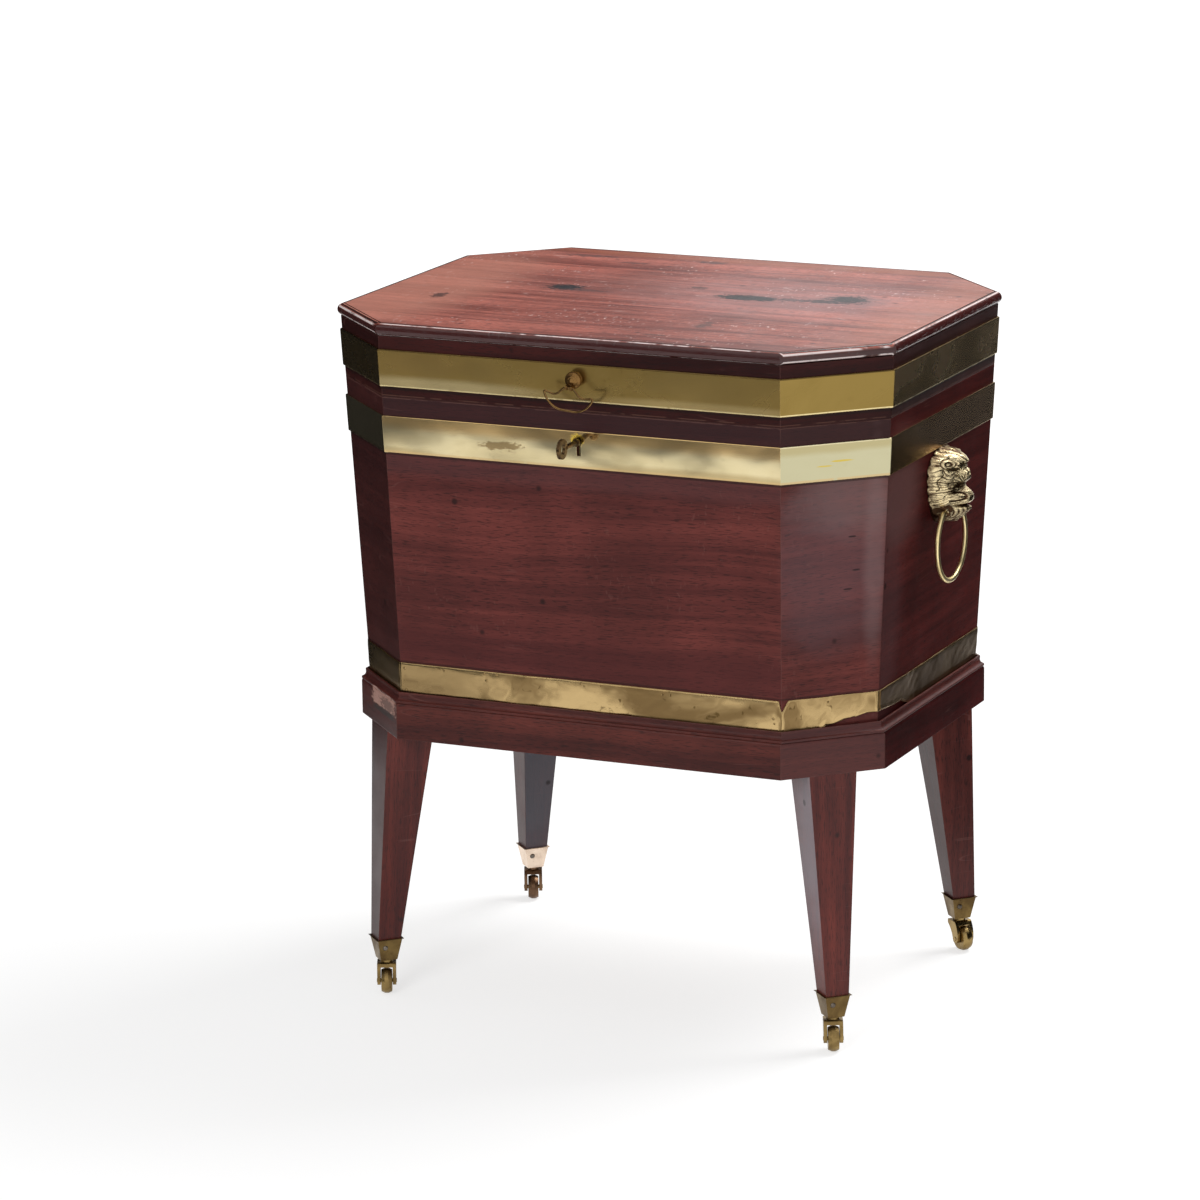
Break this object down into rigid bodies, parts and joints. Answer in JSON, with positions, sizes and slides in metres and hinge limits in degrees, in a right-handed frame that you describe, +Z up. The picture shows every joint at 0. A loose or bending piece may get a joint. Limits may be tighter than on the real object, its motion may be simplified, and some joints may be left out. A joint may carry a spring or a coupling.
{
  "type": "cellarette",
  "caption": "Brass-bound tapering chest with canted corners, a hinged lid, lion-mask ring handles and a lock, on a separate stand with splayed legs and brass castors.",
  "frame": {"origin": "on the floor, below the middle of the overall outline, key and handles included", "axes": "+X to the right as seen from the front, +Y from the front to the back, +Z up"},
  "size_m": [0.6218, 0.4861, 0.68],
  "materials": {
    "chest_mahogany": "old french-polished mahogany, dark red-brown",
    "top_mahogany": "faded mahogany, worn polish",
    "stand_mahogany": "dark waxed mahogany",
    "inner_wood": "plain oiled oak, unpolished",
    "band_brass": "aged sheet brass, rubbed bright on the edges",
    "castor_brass": "cast brass with old lacquer",
    "mask_brass": "cast and chased brass, greyed",
    "ring_brass": "polished by the hand",
    "hinge_brass": "dull brass",
    "key_metal": "dark bronzed metal",
    "screw_iron": "dark iron screws",
    "sheet_lead": "dull grey sheet lead"
  },
  "bodies": {
    "stand": {"stand_front_rail": "stand_mahogany", "stand_right_rail": "stand_mahogany", "stand_back_rail": "stand_mahogany", "stand_left_rail": "stand_mahogany", "stand_corner_blocks": "stand_mahogany", "stand_moulding": "stand_mahogany", "leg_front_left": "stand_mahogany", "leg_front_right": "stand_mahogany", "leg_back_right": "stand_mahogany", "leg_back_left": "stand_mahogany", "castor_socket_front_left": "castor_brass", "castor_socket_front_right": "castor_brass", "castor_socket_back_right": "castor_brass", "castor_socket_back_left": "castor_brass", "castor_screws": "screw_iron"},
    "chest": {"chest_front_board": "chest_mahogany", "chest_right_board": "chest_mahogany", "chest_back_board": "chest_mahogany", "chest_left_board": "chest_mahogany", "chest_corner_boards": "chest_mahogany", "chest_bottom_board": "inner_wood", "chest_upper_band": "band_brass", "chest_lower_band": "band_brass", "lead_liner": "sheet_lead", "long_dividers": "inner_wood", "cross_dividers": "inner_wood", "lock_case": "hinge_brass", "chest_hinge_leaves": "hinge_brass", "hinge_pins": "screw_iron", "lion_mask_left": "mask_brass", "lion_mask_right": "mask_brass", "mask_nuts": "hinge_brass"},
    "lid": {"lid_top_board": "top_mahogany", "lid_front_board": "chest_mahogany", "lid_right_board": "chest_mahogany", "lid_back_board": "chest_mahogany", "lid_left_board": "chest_mahogany", "lid_corner_boards": "chest_mahogany", "lid_band": "band_brass", "link_plate": "hinge_brass", "lid_handle_boss": "ring_brass", "lid_handle_nut": "hinge_brass", "lid_hinge_leaves": "hinge_brass"},
    "lid_bail": {"lid_handle_bail": "ring_brass"},
    "key": {"key": "key_metal"},
    "lock_bolt": {"lock_bolt": "hinge_brass"},
    "ring_left": {"ring_left": "ring_brass"},
    "ring_right": {"ring_right": "ring_brass"},
    "castor_fork_front_left": {"castor_fork_front_left": "castor_brass", "castor_axle_front_left": "castor_brass"},
    "castor_wheel_front_left": {"castor_wheel_front_left": "castor_brass"},
    "castor_fork_front_right": {"castor_fork_front_right": "castor_brass", "castor_axle_front_right": "castor_brass"},
    "castor_wheel_front_right": {"castor_wheel_front_right": "castor_brass"},
    "castor_fork_back_right": {"castor_fork_back_right": "castor_brass", "castor_axle_back_right": "castor_brass"},
    "castor_wheel_back_right": {"castor_wheel_back_right": "castor_brass"},
    "castor_fork_back_left": {"castor_fork_back_left": "castor_brass", "castor_axle_back_left": "castor_brass"},
    "castor_wheel_back_left": {"castor_wheel_back_left": "castor_brass"}
  },
  "joints": [
    {"name": "chest_lift", "type": "slide", "parent": "stand", "child": "chest", "axis": [0, 0, 1], "range_m": [0, 0.12]},
    {"name": "lid_hinge", "type": "hinge", "parent": "chest", "child": "lid", "pos_m": [0, 0.23983, 0.60865], "axis": [-1, 0, 0], "range_deg": [0, 95]},
    {"name": "lid_bail_swing", "type": "hinge", "parent": "lid", "child": "lid_bail", "pos_m": [-0.00059, -0.21481, 0.63464], "axis": [-0.9945, -0.0057, 0.1044], "range_deg": [-20, 95]},
    {"name": "key_turn", "type": "hinge", "parent": "chest", "child": "key", "pos_m": [0, -0.19525, 0.5805], "axis": [0, 1, 0], "range_deg": [0, 180]},
    {"name": "bolt_slide", "type": "slide", "parent": "chest", "child": "lock_bolt", "axis": [1, 0, 0], "range_m": [0, 0.007]},
    {"name": "ring_left_swing", "type": "hinge", "parent": "chest", "child": "ring_left", "pos_m": [-0.29057, 0.02003, 0.4935], "axis": [0, 1, 0], "range_deg": [-10, 90]},
    {"name": "ring_right_swing", "type": "hinge", "parent": "chest", "child": "ring_right", "pos_m": [0.29057, 0.02003, 0.4935], "axis": [0, -1, 0], "range_deg": [-10, 90]},
    {"name": "castor_swivel_front_left", "type": "hinge", "parent": "stand", "child": "castor_fork_front_left", "pos_m": [-0.23662, -0.15059, 0.033], "axis": [0, 0, 1], "continuous": true},
    {"name": "castor_roll_front_left", "type": "hinge", "parent": "castor_fork_front_left", "child": "castor_wheel_front_left", "pos_m": [-0.23324, -0.15784, 0.0125], "axis": [0.9063, 0.4226, 0], "continuous": true},
    {"name": "castor_swivel_front_right", "type": "hinge", "parent": "stand", "child": "castor_fork_front_right", "pos_m": [0.23662, -0.15059, 0.033], "axis": [0, 0, 1], "continuous": true},
    {"name": "castor_roll_front_right", "type": "hinge", "parent": "castor_fork_front_right", "child": "castor_wheel_front_right", "pos_m": [0.24, -0.15784, 0.0125], "axis": [0.9063, 0.4226, 0], "continuous": true},
    {"name": "castor_swivel_back_right", "type": "hinge", "parent": "stand", "child": "castor_fork_back_right", "pos_m": [0.23662, 0.19065, 0.033], "axis": [0, 0, 1], "continuous": true},
    {"name": "castor_roll_back_right", "type": "hinge", "parent": "castor_fork_back_right", "child": "castor_wheel_back_right", "pos_m": [0.24275, 0.18551, 0.0125], "axis": [0.6428, 0.766, 0], "continuous": true},
    {"name": "castor_swivel_back_left", "type": "hinge", "parent": "stand", "child": "castor_fork_back_left", "pos_m": [-0.23662, 0.19065, 0.033], "axis": [0, 0, 1], "continuous": true},
    {"name": "castor_roll_back_left", "type": "hinge", "parent": "castor_fork_back_left", "child": "castor_wheel_back_left", "pos_m": [-0.23324, 0.1834, 0.0125], "axis": [0.9063, 0.4226, 0], "continuous": true}
  ],
  "couplings": [
    {"joint": "bolt_slide", "follows": "key_turn", "m_per_rad": 0.0022282}
  ]
}
